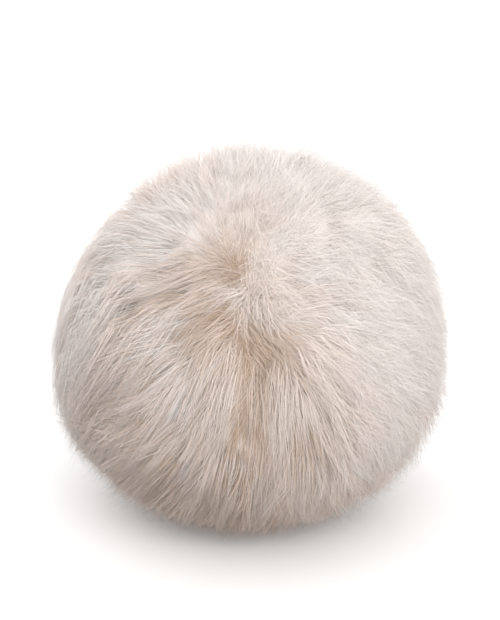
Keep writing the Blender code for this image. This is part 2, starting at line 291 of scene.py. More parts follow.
paintedShadeRange = {
    "most": 0.42,               # step to the palest or the deepest hair from the plain hair's 0.5
    "gain": 1.3,                # above 1, overlapping patches come close to it sooner
    "cloud": 0.06,
    "cloudPitch": 7.0,
}


def angleBetween(directions, poles):
    # the arc cosine of the product of two unit directions
    return np.arccos(np.clip((directions * poles).sum(axis=-1), -1, 1))


def spread(directions, spot):
    # 1 at the middle of a spot, falling away like a bell with its spread in degrees
    away = angleBetween(directions, toward(spot["azimuth"], spot["elevation"]))
    return np.exp(-((away / np.radians(spot["spread"])) ** 2))


def paintedShadeOf(directions):
    # 0.5 for the plain hair plus the sum of the painted light and shade patches, limited softly by a
    # hyperbolic tangent, and clouds of random tone
    # painted shade below 0 and painted light above 0, each patch a bell round its direction
    patches = sum(spot["shade"] * spread(directions, spot) for spot in paintedShades)
    clouds = paintedShadeRange["cloud"] * waves(directions, paintedShadeRange["cloudPitch"], 8)
    return 0.5 + paintedShadeRange["most"] * np.tanh(paintedShadeRange["gain"] * patches) + clouds


def turnAway(directions, poles, angles):
    # each direction turned by its angle along the great circle that leads away from its pole
    cosine = (directions * poles).sum(axis=-1, keepdims=True)
    aside = directions - poles * cosine
    sine = np.linalg.norm(aside, axis=-1, keepdims=True)
    outward = aside / np.maximum(sine, 1e-9) * cosine - poles * sine
    return directions * np.cos(angles)[..., None] + outward * np.sin(angles)[..., None]


def nearestOnParting(directions, parting):
    # the point of a parting's or the crown's arc that is nearest to each direction: the foot of a
    # perpendicular on its chord, brought out to the unit ball
    start, end = toward(*parting["start"]), toward(*parting["end"])
    chord = end - start
    share = np.clip(((directions - start) @ chord) / (chord @ chord), 0, 1)
    return unit(start + share[..., None] * chord)


def combedShare(directions):
    # 1 on the side that is combed flat into locks, 0 where it is fluffed up, and nearly 1 low down all round
    side = smoothStep(*furBall["combedEdge"], directions @ toward(*furBall["combedSide"]))
    under = smoothStep(*furBall["combedUnder"], -directions[..., 2])
    return np.maximum(side, furBall["combedUnderMost"] * under)


def bySide(directions, pair):
    # a pair of values, the first on the fluffed side and the second on the combed side
    return pair[0] + (pair[1] - pair[0]) * combedShare(directions)


def lieOfPile(directions, along):
    # where pile rooted in these directions points at these shares of its length: turned away from the
    # crown, then away from each parting, and last down the sides and outward under the ball
    crown = nearestOnParting(directions, furBall["crown"])
    fade = smoothStep(*furBall["combFades"], directions[..., 2])
    fromCrown = angleBetween(directions, crown)
    setsIn = np.tanh(fromCrown / bySide(directions, furBall["combStart"]))
    diesOut = np.tanh((np.pi - fromCrown) / furBall["combEnd"])
    comb = bySide(directions, furBall["comb"]) * fade * (setsIn * diesOut)
    leaning = turnAway(directions, crown, comb * along ** furBall["combBend"])
    for parting in partings:
        nearest = nearestOnParting(leaning, parting)
        away = angleBetween(leaning, nearest) / np.radians(parting["spread"])
        leaning = turnAway(leaning, nearest, parting["lean"] * along * away * np.exp(-away * away))
    top = np.array([0.0, 0.0, 1.0])
    fromTop = angleBetween(leaning, top)
    downward = np.sin(fromTop) * np.sin(np.pi * fromTop / np.radians(furBall["droopMeets"]))
    return turnAway(leaning, top, furBall["droop"] * along ** furBall["droopBend"] * downward)


def reach(directions):
    # how far the tips stand from the ball's centre: an ellipse above the widest level, a fuller
    # curve below it, broad swells and partings, and the floor's plane under all
    across = np.hypot(directions[..., 0], directions[..., 1]) / (furBall["width"] / 2)
    upper = directions[..., 2] > 0
    height = np.where(upper, furBall["upperHeight"], furBall["lowerHeight"])
    fullness = np.where(upper, 2.0, furBall["lowerFullness"])
    distance = (across**fullness + (np.abs(directions[..., 2]) / height) ** fullness) ** (-1 / fullness)
    for swell in swells:
        distance += swell["height"] * spread(directions, swell)
    for parting in partings:
        away = angleBetween(directions, nearestOnParting(directions, parting))
        distance -= parting["depth"] * np.exp(-((away / np.radians(parting["spread"])) ** 2))
    floorDistance = furBall["widestLevel"] / np.maximum(-directions[..., 2], 1e-6)
    return np.minimum(distance, floorDistance)


# the dense underfur between the hairs' roots

underfur = {
    "depth": (0.0058, 0.0068),  # under the tips, on the fluffed and the combed side
    "lumps": 0.0007,
    "lumpPitches": (11.0, 27.0),
    "fineLumps": 0.6,
    "columns": 128,
    "rows": 72,
    "seat": 0.0066,             # height of the flat where the patch is sewn
    "locks": 26.0,              # streaks round the crown, and how fast they change along the pile
    "lockLength": 2.2,
    # a little darker than the hair's colours: painted shade for the depth of the pile
    "rootColour": (0.66, 0.52, 0.42, 1),
    "bodyColour": (0.84, 0.71, 0.63, 1),
    "tipColour": (0.90, 0.80, 0.73, 1),
    "variation": 0.5,
    "relief": 0.0012,
}


def underfurRadius(directions):
    # a little under the tips of the pile, with soft lumps and finer ones on them
    broad, fine = underfur["lumpPitches"]
    uneven = waves(directions, broad, 5) + underfur["fineLumps"] * waves(directions, fine, 6)
    lumps = underfur["lumps"] * uneven
    return reach(directions) - bySide(directions, underfur["depth"]) + lumps


# shader groups shared by several materials

def newGroup(name, inputs, outputs):
    # a node group with named sockets, each given as (name, kind, value)
    group = bpy.data.node_groups.new(name, "ShaderNodeTree")
    for label, kind, value in inputs:
        socket = group.interface.new_socket(name=label, in_out="INPUT", socket_type=kind)
        socket.default_value = value
    for label, kind in outputs:
        group.interface.new_socket(name=label, in_out="OUTPUT", socket_type=kind)
    group.nodes.new("NodeGroupInput")
    group.nodes.new("NodeGroupOutput")
    return group


def addNode(tree, kind, inputs=None, **settings):
    # a node with its settings, and its inputs given as numbers or as other nodes' outputs
    node = tree.nodes.new(kind)
    for label, value in settings.items():
        setattr(node, label, value)
    for socket, value in (inputs or {}).items():
        if isinstance(value, bpy.types.NodeSocket):
            tree.links.new(value, node.inputs[socket])
        else:
            node.inputs[socket].default_value = value
    return node


def mixColour(tree, factor, first, second, blend="MIX"):
    # the first colour at factor 0, and the second one laid over it at 1
    inputs = {"Factor": factor, "A": first, "B": second}
    return addNode(tree, "ShaderNodeMix", inputs, data_type="RGBA", blend_type=blend).outputs["Result"]


def calc(tree, operation, *values):
    # one step of arithmetic
    return addNode(tree, "ShaderNodeMath", dict(enumerate(values)), operation=operation).outputs[0]


def ramp(tree, value, low, high, start=0.0, end=1.0):
    # start up to low, end from high on, and a smooth step between them
    inputs = {"Value": value, "From Min": low, "From Max": high, "To Min": start, "To Max": end}
    return addNode(tree, "ShaderNodeMapRange", inputs, interpolation_type="SMOOTHSTEP").outputs["Result"]


def noise(tree, inputs):
    # cloudy noise between 0 and 1
    return addNode(tree, "ShaderNodeTexNoise", inputs).outputs["Fac"]


def send(group, results):
    # joins a group's results to its outputs
    for label, value in results.items():
        group.links.new(value, group.nodes["Group Output"].inputs[label])


def pileToneGroup():
    # hair colour from root to tip, lighter or darker at random by hair and by tuft, with painted shade and
    # painted light from the Tuft value: tinted darker under 0.5 and paler over it
    group = newGroup(
        "pileTone",
        [
            ("Along", "NodeSocketFloat", 0.5),
            ("Hair", "NodeSocketFloat", 0.5),
            ("Tuft", "NodeSocketFloat", 0.5),
            ("Root Colour", "NodeSocketColor", (0.50, 0.38, 0.29, 1)),
            ("Body Colour", "NodeSocketColor", (0.80, 0.70, 0.63, 1)),
            ("Tip Colour", "NodeSocketColor", (0.90, 0.84, 0.81, 1)),
            ("Painted Shade Tint", "NodeSocketColor", (0.76, 0.68, 0.59, 1)),
            ("Painted Light Colour", "NodeSocketColor", (0.935, 0.893, 0.872, 1)),
            ("Variation", "NodeSocketFloat", 0.2),
        ],
        [("Colour", "NodeSocketColor"), ("Roughness", "NodeSocketFloat")],
    )
    given = group.nodes["Group Input"].outputs
    low = ramp(group, given["Along"], 0.05, 0.55)
    high = ramp(group, given["Along"], 0.45, 1.0)
    lower = mixColour(group, low, given["Root Colour"], given["Body Colour"])
    whole = mixColour(group, high, lower, given["Tip Colour"])
    # painted shade: tinted darker where the Tuft value is under 0.5; painted light: paler where it is over
    # 0.5
    deeper = mixColour(group, 1.0, whole, given["Painted Shade Tint"], "MULTIPLY")
    whole = mixColour(group, ramp(group, given["Tuft"], 0.5, 0.0), whole, deeper)
    whole = mixColour(group, ramp(group, given["Tuft"], 0.5, 1.0, 0.0, 0.88), whole, given["Painted Light Colour"])
    hair = calc(group, "MULTIPLY", calc(group, "SUBTRACT", given["Hair"], 0.5), given["Variation"])
    bright = calc(group, "ADD", 1.0, hair)
    toned = addNode(group, "ShaderNodeHueSaturation", {"Color": whole, "Value": bright})
    rough = calc(group, "ADD", 0.5, calc(group, "MULTIPLY", given["Hair"], 0.2))
    send(group, {"Colour": toned.outputs["Color"], "Roughness": rough})
    return group


def tarnishGroup():
    # old plated metal: bright where it is rubbed and dark where it is not, in cloudy patches, with fine pits
    group = newGroup(
        "tarnish",
        [
            ("Vector", "NodeSocketVector", (0, 0, 0)),
            ("Metal Colour", "NodeSocketColor", (0.45, 0.36, 0.17, 1)),
            ("Dark Colour", "NodeSocketColor", (0.05, 0.04, 0.03, 1)),
            ("Rub", "NodeSocketFloat", 0.5),
            ("Scale", "NodeSocketFloat", 600.0),
        ],
        [("Colour", "NodeSocketColor"), ("Roughness", "NodeSocketFloat"), ("Height", "NodeSocketFloat")],
    )
    given = group.nodes["Group Input"].outputs
    fineScale = calc(group, "MULTIPLY", given["Scale"], 5.0)
    cloud = noise(group, {"Vector": given["Vector"], "Scale": given["Scale"], "Detail": 6.0})
    fine = noise(group, {"Vector": given["Vector"], "Scale": fineScale, "Detail": 3.0})
    patches = calc(group, "MULTIPLY", calc(group, "SUBTRACT", cloud, 0.5), 0.9)
    shown = ramp(group, calc(group, "ADD", given["Rub"], patches), 0.15, 0.85)
    pits = calc(group, "MULTIPLY", calc(group, "SUBTRACT", fine, 0.5), 0.25)
    send(group, {
        "Colour": mixColour(group, shown, given["Dark Colour"], given["Metal Colour"]),
        "Roughness": calc(group, "ADD", ramp(group, shown, 0.0, 1.0, 0.52, 0.30), pits),
        "Height": calc(group, "ADD", calc(group, "MULTIPLY", cloud, 0.7), calc(group, "MULTIPLY", fine, 0.3)),
    })
    return group


def feltGroup():
    # short matted fibres: clouds of tone with fine threads running every way
    group = newGroup(
        "felt",
        [
            ("Vector", "NodeSocketVector", (0, 0, 0)),
            ("Light Colour", "NodeSocketColor", (0.80, 0.76, 0.69, 1)),
            ("Shade Colour", "NodeSocketColor", (0.62, 0.55, 0.47, 1)),
            ("Scale", "NodeSocketFloat", 700.0),
        ],
        [("Colour", "NodeSocketColor"), ("Height", "NodeSocketFloat")],
    )
    given = group.nodes["Group Input"].outputs
    cloudScale = calc(group, "MULTIPLY", given["Scale"], 0.25)
    cloud = noise(group, {"Vector": given["Vector"], "Scale": cloudScale, "Detail": 4.0})
    threads = noise(group, {
        "Vector": given["Vector"],
        "Scale": given["Scale"],
        "Detail": 5.0,
        "Distortion": 2.5,
        "Roughness": 0.7,
    })
    tone = calc(group, "ADD", calc(group, "MULTIPLY", cloud, 0.6), calc(group, "MULTIPLY", threads, 0.4))
    colour = mixColour(group, ramp(group, tone, 0.35, 0.62), given["Shade Colour"], given["Light Colour"])
    send(group, {"Colour": colour, "Height": threads})
    return group


def newMaterial(name):
    # a material with its node tree and its shader
    material = bpy.data.materials.new(name)
    material.use_nodes = True
    return material, material.node_tree, material.node_tree.nodes["Principled BSDF"]


def useGroup(tree, group, inputs):
    # one use of a shared group, with its own values
    return addNode(tree, "ShaderNodeGroup", inputs, node_tree=group)


def applyFinish(tree, shader, finish):
    # joins a group's colour and roughness to the shader
    tree.links.new(finish.outputs["Colour"], shader.inputs["Base Color"])
    tree.links.new(finish.outputs["Roughness"], shader.inputs["Roughness"])


def addRelief(tree, shader, height, distance, strength=1.0):
    # turns the surface's normal as if it stood this many metres out where the height is 1
    bump = addNode(tree, "ShaderNodeBump", {"Height": height, "Distance": distance, "Strength": strength})
    tree.links.new(bump.outputs["Normal"], shader.inputs["Normal"])


# the pile: wisps of hair in tufts

pileHair = {
    "tufts": 1400,
    "wisps": 8,                 # in a tuft
    "hairs": 14,                # in a wisp
    "sectors": 5,               # meshes that the pile is shared between
    "rootDepth": 0.0025,        # of the roots inside the underfur's surface
    "unevenness": 0.25,         # how far a tuft strays from its even place, as a share of their spacing
    "tuftSpread": 0.62,         # of the spacing between tufts
    "wispSpread": 0.24,
    "tuftPull": (0.06, 0.74),   # on the fluffed and the combed side, as are all pairs here
    "wispPull": (0.14, 0.68),
    "guardPull": 0.15,
    "halfWidth": 0.000078,
    "widthRange": (0.7, 1.15),
    "thickness": 0.45,          # of the width
    "tilt": 0.3,                # how far a hair's flat side turns from lying on the ball
    "rings": (0.0, 0.42, 1.0),  # places along a hair: its root, its bend and its tip
    "roundness": 0.08,          # how far the shading turns over a hair's sides
    "rise": (1.4, 1.9),         # above 1, a hair leaves the skin steeply and ends lying over
    "guardRise": 1.1,
    "broadSwing": 0.25,         # slow turns of the lie over the ball, in radians
    "broadPitch": 4.0,
    "tuftSwing": 11.5,          # random turns, in degrees
    "wispSwing": 8.0,
    "hairSwing": 4.5,
    "crownSpread": 0.17,        # how far from the crown its greater swing and stray reach, in radians
    "crownSwing": 2.5,          # times more swing there
    "tuftStray": (0.05, 0.03),  # random lean, in radians
    "wispStray": (0.05, 0.03),
    "hairStray": (0.035, 0.02),
    "strayBend": 1.5,
    "crownStray": (1.0, 1.4, 5.0, 3.0),     # times more stray there: tufts, wisps, hairs, loose hairs
    "tuftUneven": (0.04, 0.16), # share that a tuft is longer or shorter
    "tuftThatch": (0.02, 0.16), # share that it is shorter round its edge
    "wispUneven": (0.94, 1.03), # range of a wisp's length against its tuft's
    "shortest": (0.58, 0.76),   # of the way from the skin to the ball's reach
    "longest": (1.72, 1.40),
    "lengthBend": 2.8,          # above 1, few of them are long
    "guardShare": 0.14,         # of the hairs are thin and loose, and stand out as guard hairs
    "guardShortfall": 0.94,     # taken from the longest hair to give the range of their lengths over 1
    "guardBend": 1.5,
    "guardStray": (0.10, 0.06),
    "guardWidth": 0.6,
    "wave": 0.00045,            # width of a hair's own wave, and how fast it turns along the hair
    "waveTurn": 5.0,
    "bareUnder": 21.5,          # degrees round straight down that are left to the patch
    "floorMargin": 0.0004,
    "rootColour": (0.74, 0.60, 0.485, 1),
    "bodyColour": (0.915, 0.78, 0.71, 1),
    "tipColour": (0.945, 0.86, 0.825, 1),
    "tipCover": 0.60,           # how much of what is behind a tip it hides
    "glow": (0.77, 0.93),       # share of the light that a deep and a pale hair lets through
    "variation": 0.07,
    "tuftTone": (0.03, 0.16),   # random steps of shade from tuft to tuft and wisp to wisp
    "wispTone": (0.03, 0.10),
    # painted shade at the edges of the tufts, where one lock meets the next
    "paintedEdgeShade": (0.0, 0.34),    # step down from the middle of a tuft to its edge
}


def spreadDirections(count, jitter):
    # even directions in a golden spiral, each moved a little at random
    index = np.arange(count)
    height = 1 - (2 * index + 1) / count
    turn = index * np.pi * (3 - 5**0.5)
    flat = np.sqrt(1 - height * height)
    even = np.stack([flat * np.cos(turn), flat * np.sin(turn), height], axis=1)
    return unit(even + chance.uniform(-jitter, jitter, (count, 3)) * (4 * np.pi / count) ** 0.5)


def scatterAround(directions, spread):
    # each direction moved to a random place in a disc of this angle, in radians, around it
    nudge = chance.normal(size=directions.shape)
    nudge -= directions * (nudge * directions).sum(axis=-1, keepdims=True)
    radius = spread * np.sqrt(chance.uniform(size=directions.shape[:-1]))
    return unit(directions + unit(nudge) * radius[..., None])


def strayLean(roots, amount, atCrown):
    # a random lean for each hair, square to its root's direction and larger at the crown
    nudge = chance.normal(size=roots.shape)
    nudge -= roots * (nudge * roots).sum(axis=-1, keepdims=True)
    return nudge * (bySide(roots, amount) * crownShare(roots, atCrown))[:, None]


def crownShare(roots, most):
    # 1 over the ball, rising like a bell to this much at its crown
    fromCrown = angleBetween(roots, nearestOnParting(roots, furBall["crown"]))
    return 1 + (most - 1) * np.exp(-((fromCrown / pileHair["crownSpread"]) ** 2))


def swingOf(roots, degrees):
    # a random turn for each root, in radians, larger at the crown
    return np.radians(chance.normal(0, degrees, len(roots))) * crownShare(roots, pileHair["crownSwing"])


def hairPaths(roots, swing, stray, length, rise):
    # points along each hair: its lie at each ring, swung about its root and led astray towards the tip,
    # at a radius that climbs from the skin to the ball's reach
    rings = np.array(pileHair["rings"])
    start = np.broadcast_to(roots[:, None, :], (len(roots), len(rings), 3))
    pointing = lieOfPile(start, np.broadcast_to(rings, start.shape[:2]))
    upright = (pointing * start).sum(axis=-1, keepdims=True)
    aside = pointing - start * upright
    turn = swing[:, None, None]
    aside = aside * np.cos(turn) + np.cross(start, aside) * np.sin(turn)
    pointing = unit(start * upright + aside + stray[:, None, :] * rings[:, None] ** pileHair["strayBend"])
    climb = 1 - (1 - rings) ** rise[:, None]
    skin = (underfurRadius(roots) - pileHair["rootDepth"])[:, None]
    radius = skin + (reach(pointing) - skin) * climb * length[:, None]
    return ballCentre + pointing * radius[..., None]


def pullTogether(paths, guides, strength):
    # paths drawn sideways towards their guides, more towards their tips, at their own distance from
    # the ball's centre
    pull = strength[:, None, None] * smoothStep(0.0, 1.0, np.array(pileHair["rings"]))[:, None]
    distance = np.linalg.norm(paths - ballCentre, axis=-1, keepdims=True)
    return ballCentre + unit(paths + (guides - paths) * pull - ballCentre) * distance


def lengthsOfHair(roots, loose):
    # from the shortest hair to the longest, with few long ones, and 1 or more for a loose hair
    shortest, longest = bySide(roots, pileHair["shortest"]), bySide(roots, pileHair["longest"])
    lengths = shortest + (longest - shortest) * chance.uniform(size=len(roots)) ** pileHair["lengthBend"]
    beyond = (longest - pileHair["guardShortfall"]) * chance.uniform(size=len(roots)) ** pileHair["guardBend"]
    return np.where(loose, 1 + beyond, lengths)


def combPile():
    # paths of all the hairs, (hairs, rings, 3), with each hair's half width and tone, its wisp's tone and
    # the turn of its tuft about the ball's upright axis: tufts stand evenly, wisps stand round their
    # tuft's root and lean to its path, and hairs do the same with their wisp
    tufts, wisps, hairs = pileHair["tufts"], pileHair["wisps"], pileHair["hairs"]
    under = math.cos(math.radians(pileHair["bareUnder"]))
    spare = spreadDirections(round(tufts * 2 / (1 + under)), pileHair["unevenness"])
    centres = spare[spare[:, 2] > -under][:tufts]
    tufts = len(centres)
    spacing = (4 * np.pi / tufts) ** 0.5
    crownStray = pileHair["crownStray"]

    broadSwing = pileHair["broadSwing"] * waves(centres, pileHair["broadPitch"], 3)
    tuftSwing = swingOf(centres, pileHair["tuftSwing"]) + broadSwing
    tuftStray = strayLean(centres, pileHair["tuftStray"], crownStray[0])
    tuftLength = 1 + bySide(centres, pileHair["tuftUneven"]) * chance.uniform(-1, 1, tufts)
    tuftPaths = hairPaths(centres, tuftSwing, tuftStray, tuftLength, bySide(centres, pileHair["rise"]))

    aroundTuft = spacing * pileHair["tuftSpread"]
    wispRoots = scatterAround(np.repeat(centres, wisps, axis=0), aroundTuft)
    wispSwing = np.repeat(tuftSwing, wisps) + swingOf(wispRoots, pileHair["wispSwing"])
    wispStray = strayLean(wispRoots, pileHair["wispStray"], crownStray[1])
    wispStray += np.repeat(tuftStray, wisps, axis=0)
    fromTuft = angleBetween(wispRoots, np.repeat(centres, wisps, axis=0)) / aroundTuft
    thatch = 1 - bySide(wispRoots, pileHair["tuftThatch"]) * fromTuft**2
    uneven = chance.uniform(*pileHair["wispUneven"], tufts * wisps)
    wispLength = np.repeat(tuftLength, wisps) * thatch * uneven
    wispPaths = hairPaths(wispRoots, wispSwing, wispStray, wispLength, bySide(wispRoots, pileHair["rise"]))
    pull = bySide(wispRoots, pileHair["tuftPull"])
    wispPaths = pullTogether(wispPaths, np.repeat(tuftPaths, wisps, axis=0), pull)

    hairRoots = scatterAround(np.repeat(wispRoots, hairs, axis=0), spacing * pileHair["wispSpread"])
    count = len(hairRoots)
    hairSwing = np.repeat(wispSwing, hairs) + swingOf(hairRoots, pileHair["hairSwing"])
    hairStray = strayLean(hairRoots, pileHair["hairStray"], crownStray[2])
    hairStray += np.repeat(wispStray, hairs, axis=0)
    loose = chance.uniform(size=count) < pileHair["guardShare"]
    hairStray += strayLean(hairRoots, pileHair["guardStray"], crownStray[3]) * loose[:, None]
    hairLength = lengthsOfHair(hairRoots, loose) * np.repeat(wispLength, hairs)
    rise = np.where(loose, pileHair["guardRise"], bySide(hairRoots, pileHair["rise"]))
    paths = hairPaths(hairRoots, hairSwing, hairStray, hairLength, rise)
    pull = np.where(loose, pileHair["guardPull"], bySide(hairRoots, pileHair["wispPull"]))
    paths = pullTogether(paths, np.repeat(wispPaths, hairs, axis=0), pull)

    rings = np.array(pileHair["rings"])
    phase = chance.uniform(0, 2 * np.pi, (count, 1, 1))
    sideways = unit(np.cross(hairRoots, chance.normal(size=(count, 3))))[:, None, :]
    wave = pileHair["wave"] * rings[:, None] * np.sin(phase + pileHair["waveTurn"] * rings[:, None])
    paths += sideways * wave
    paths[..., 2] = np.maximum(paths[..., 2], pileHair["floorMargin"])

    hairTone = chance.uniform(size=count)
    shown = unit(tuftPaths[:, 1] - ballCentre)      # where the tuft comes into view
    # the tuft's tone is the painted shade and light of the patches where it comes into view, with random
    # steps
    tuftTone = paintedShadeOf(shown) + chance.normal(size=tufts) * bySide(centres, pileHair["tuftTone"])
    wispStep = chance.normal(size=tufts * wisps) * bySide(wispRoots, pileHair["wispTone"])
    # painted shade: darker towards the edge of each tuft
    paintedEdgeStep = bySide(wispRoots, pileHair["paintedEdgeShade"]) * (0.5 - fromTuft**2)
    wispTone = np.clip(np.repeat(tuftTone, wisps) + wispStep + paintedEdgeStep, 0, 1)
    width = pileHair["halfWidth"] * chance.uniform(*pileHair["widthRange"], count)
    width *= np.where(loose, pileHair["guardWidth"], 1.0)
    turn = np.arctan2(centres[:, 0], -centres[:, 1])
    return paths, width, hairTone, np.repeat(wispTone, hairs), np.repeat(turn, wisps * hairs)


def giveBakeMap(piece, count):
    # every hair has its own square cell of the map, its three sides beside each other from root to tip
    columns = math.ceil(count**0.5)
    cell = np.stack([np.arange(count) % columns, np.arange(count) // columns], axis=1)
    left = (0.05, 0.36, 0.67)
    low = [((x + 0.14, 0.05), (x + 0.28, 0.46), (x, 0.46)) for x in left]
    high = [((x, 0.50), (x + 0.28, 0.50), (x + 0.14, 0.95)) for x in left]
    places = (cell[:, None, None, :] + np.array(low + high)) / columns
    bakeMap = piece.data.uv_layers.new(name="OFBake")
    bakeMap.data.foreach_set("uv", places.astype(np.float32).ravel())


def hairMesh(name, paths, halfWidth, hairTone, tuftTone, material):
    # each hair is a thin closed spindle: a point in the skin, a flat triangle at its bend and a point at
    # the tip, shaded as the ball is, with a little of its own roundness
    count = len(paths)
    outward = unit(paths - ballCentre)
    tangent = unit(paths[:, 2] - paths[:, 0])
    tilted = pileHair["tilt"] * np.cross(tangent, chance.normal(size=(count, 3)))
    side = unit(np.cross(tangent, outward[:, 1]) + tilted)
    upward = np.cross(side, tangent)
    profile = np.array([(-1.0, -0.3), (0.0, 0.7), (1.0, -0.3)]) * (1.0, 2 * pileHair["thickness"])
    section = side[:, None, :] * profile[:, :1] + upward[:, None, :] * profile[:, 1:]
    bend = paths[:, 1:2] + section * halfWidth[:, None, None]
    points = np.concatenate([paths[:, :1], bend, paths[:, 2:]], axis=1)
    turned = unit(outward[:, 1:2] + section * pileHair["roundness"])
    shading = np.concatenate([outward[:, :1], turned, outward[:, 2:]], axis=1)
    lower = [(0, 1 + (edge + 1) % 3, 1 + edge) for edge in range(3)]
    upper = [(1 + edge, 1 + (edge + 1) % 3, 4) for edge in range(3)]
    faces = (np.arange(count)[:, None, None] * 5 + np.array(lower + upper)).reshape(-1, 3)
    piece = newPiece(name, points.reshape(-1, 3), [faces], material)
    piece.data.normals_split_custom_set_from_vertices(shading.reshape(-1, 3))

    # red runs along the hair, green is its own tone and blue its wisp's tone, which holds the painted shade
    # and light of the patches
    middle = pileHair["rings"][1]
    strand = np.ones((count, 5, 4), np.float32)
    strand[..., 0] = (0, middle, middle, middle, 1)
    strand[..., 1] = hairTone[:, None]
    strand[..., 2] = tuftTone[:, None]
    layer = piece.data.attributes.new("strand", "FLOAT_COLOR", "POINT")
    layer.data.foreach_set("color", strand.ravel())
    giveBakeMap(piece, count)
    return piece


def hairMaterial(pileTone):
    # toned by the strand colours, thin at the tips, and letting part of the light through to what is
    # behind it, as a single hair does
    material, tree, shader = newMaterial("pileHair")
    strand = addNode(tree, "ShaderNodeAttribute", attribute_name="strand").outputs["Color"]
    parts = addNode(tree, "ShaderNodeSeparateColor", {"Color": strand}).outputs
    applyFinish(tree, shader, useGroup(tree, pileTone, {
        "Along": parts["Red"],
        "Hair": parts["Green"],
        # the wisp's tone, with the painted shade and light of the patches
        "Tuft": parts["Blue"],
        "Root Colour": pileHair["rootColour"],
        "Body Colour": pileHair["bodyColour"],
        "Tip Colour": pileHair["tipColour"],
        "Variation": pileHair["variation"],
    }))
    cover = ramp(tree, parts["Red"], 0.6, 1.0, 1.0, pileHair["tipCover"])
    glow = ramp(tree, parts["Blue"], 0.35, 0.95, *pileHair["glow"])
    shadowRay = addNode(tree, "ShaderNodeLightPath").outputs["Is Shadow Ray"]
    shaded = calc(tree, "SUBTRACT", 1.0, calc(tree, "MULTIPLY", shadowRay, glow))
    tree.links.new(calc(tree, "MULTIPLY", cover, shaded), shader.inputs["Alpha"])
    shader.inputs["Specular IOR Level"].default_value = 0.15
    return material


def buildHair(pileTone):
    # the combed pile, shared between meshes like the segments of an orange
    paths, width, hairTone, tuftTone, turn = combPile()
    material = hairMaterial(pileTone)
    order = np.argsort(turn, kind="stable")
    for sector, members in enumerate(np.array_split(order, pileHair["sectors"]), 1):
        piece = hairMesh("pile_sector_%d" % sector, paths[members], width[members], hairTone[members],
                         tuftTone[members], material)
        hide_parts("fur")
    print("hairs:", len(paths), "in", pileHair["sectors"], "meshes")


def underfurMaterial(pileTone):
    # locks and finer streaks of noise along the flow, toned as the hair is, with painted shade where their
    # relief is low, and the painted shade and light of the patches
    material, tree, shader = newMaterial("underfur")
    flow = addNode(tree, "ShaderNodeAttribute", attribute_name="flow").outputs["Vector"]
    shade = addNode(tree, "ShaderNodeAttribute", attribute_name="shade").outputs["Fac"]
    lock = noise(tree, {"Vector": flow, "Scale": 1.0, "Detail": 4.0, "Roughness": 0.6, "Distortion": 0.4})
    streak = noise(tree, {"Vector": flow, "Scale": 5.0, "Detail": 4.0, "Roughness": 0.7, "Distortion": 0.3})
    applyFinish(tree, shader, useGroup(tree, pileTone, {
        # painted shade: root colour and a darker value where the locks and streaks are low in the relief
        "Along": ramp(tree, lock, 0.25, 0.70, 0.15, 0.9),
        "Hair": streak,
        "Tuft": shade,
        "Root Colour": underfur["rootColour"],
        "Body Colour": underfur["bodyColour"],
        "Tip Colour": underfur["tipColour"],
        "Variation": underfur["variation"],
    }))
    height = calc(tree, "ADD", lock, calc(tree, "MULTIPLY", streak, 0.5))
    addRelief(tree, shader, height, underfur["relief"], 0.7)
    return material


def flowOf(directions):
    # coordinates that run round the crown and away from it, so that the streaks follow the pile
    crown = unit(toward(*furBall["crown"]["start"]) + toward(*furBall["crown"]["end"]))
    across = unit(np.cross([0, 0, 1.0], crown))
    turned = np.arctan2(directions @ across, directions @ np.cross(crown, across))
    along = angleBetween(directions, crown) * underfur["lockLength"]
    return np.stack([np.cos(turned) * underfur["locks"], np.sin(turned) * underfur["locks"], along], axis=1)


def buildUnderfur(pileTone):
    # a ball of (turn, rise) directions at an uneven radius, kept inside the pile and cut level under
    rows, columns = underfur["rows"], underfur["columns"]
    rise = np.linspace(-np.pi / 2, np.pi / 2, rows + 1)[1:-1]
    turn = np.linspace(0, 2 * np.pi, columns, endpoint=False)
    rise, turn = np.meshgrid(rise, turn, indexing="ij")
    grid = np.stack([np.sin(turn) * np.cos(rise), -np.cos(turn) * np.cos(rise), np.sin(rise)], axis=-1)
    directions = np.concatenate([[[0, 0, -1.0]], grid.reshape(-1, 3), [[0, 0, 1.0]]])
    toSeat = (furBall["widestLevel"] - underfur["seat"]) / np.maximum(-directions[:, 2], 1e-6)
    points = ballCentre + directions * np.minimum(underfurRadius(directions), toSeat)[:, None]

    ring = np.arange(columns)
    after = (ring + 1) % columns
    level = 1 + np.arange(rows - 2)[:, None] * columns
    above = level + columns
    walls = np.stack([level + ring, level + after, above + after, above + ring], axis=-1).reshape(-1, 4)
    top = 1 + (rows - 2) * columns
    bottomCap = np.stack([np.zeros(columns, int), 1 + after, 1 + ring], axis=-1)
    topCap = np.stack([np.full(columns, len(points) - 1), top + ring, top + after], axis=-1)
    piece = newPiece("underfur", points, [walls, bottomCap, topCap], underfurMaterial(pileTone))

    flow = piece.data.attributes.new("flow", "FLOAT_VECTOR", "POINT")
    flow.data.foreach_set("vector", flowOf(directions).astype(np.float32).ravel())
    # the painted shade and light of the patches, for the underfur's colour
    shade = piece.data.attributes.new("shade", "FLOAT", "POINT")
    shade.data.foreach_set("value", np.clip(paintedShadeOf(directions), 0, 1).astype(np.float32))
    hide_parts("fur")
    print("underfur ready")


# the press stud under the ball

studPlate = {
    "brightColour": (0.30, 0.25, 0.10, 1),
    "darkColour": (0.022, 0.017, 0.012, 1),
    "pits": 900.0,
    "relief": 0.00004,
    "rubbed": (0.0093, 0.0101),     # radii between which the rolled edge turns bright
    "rub": (0.0, 0.95),
}

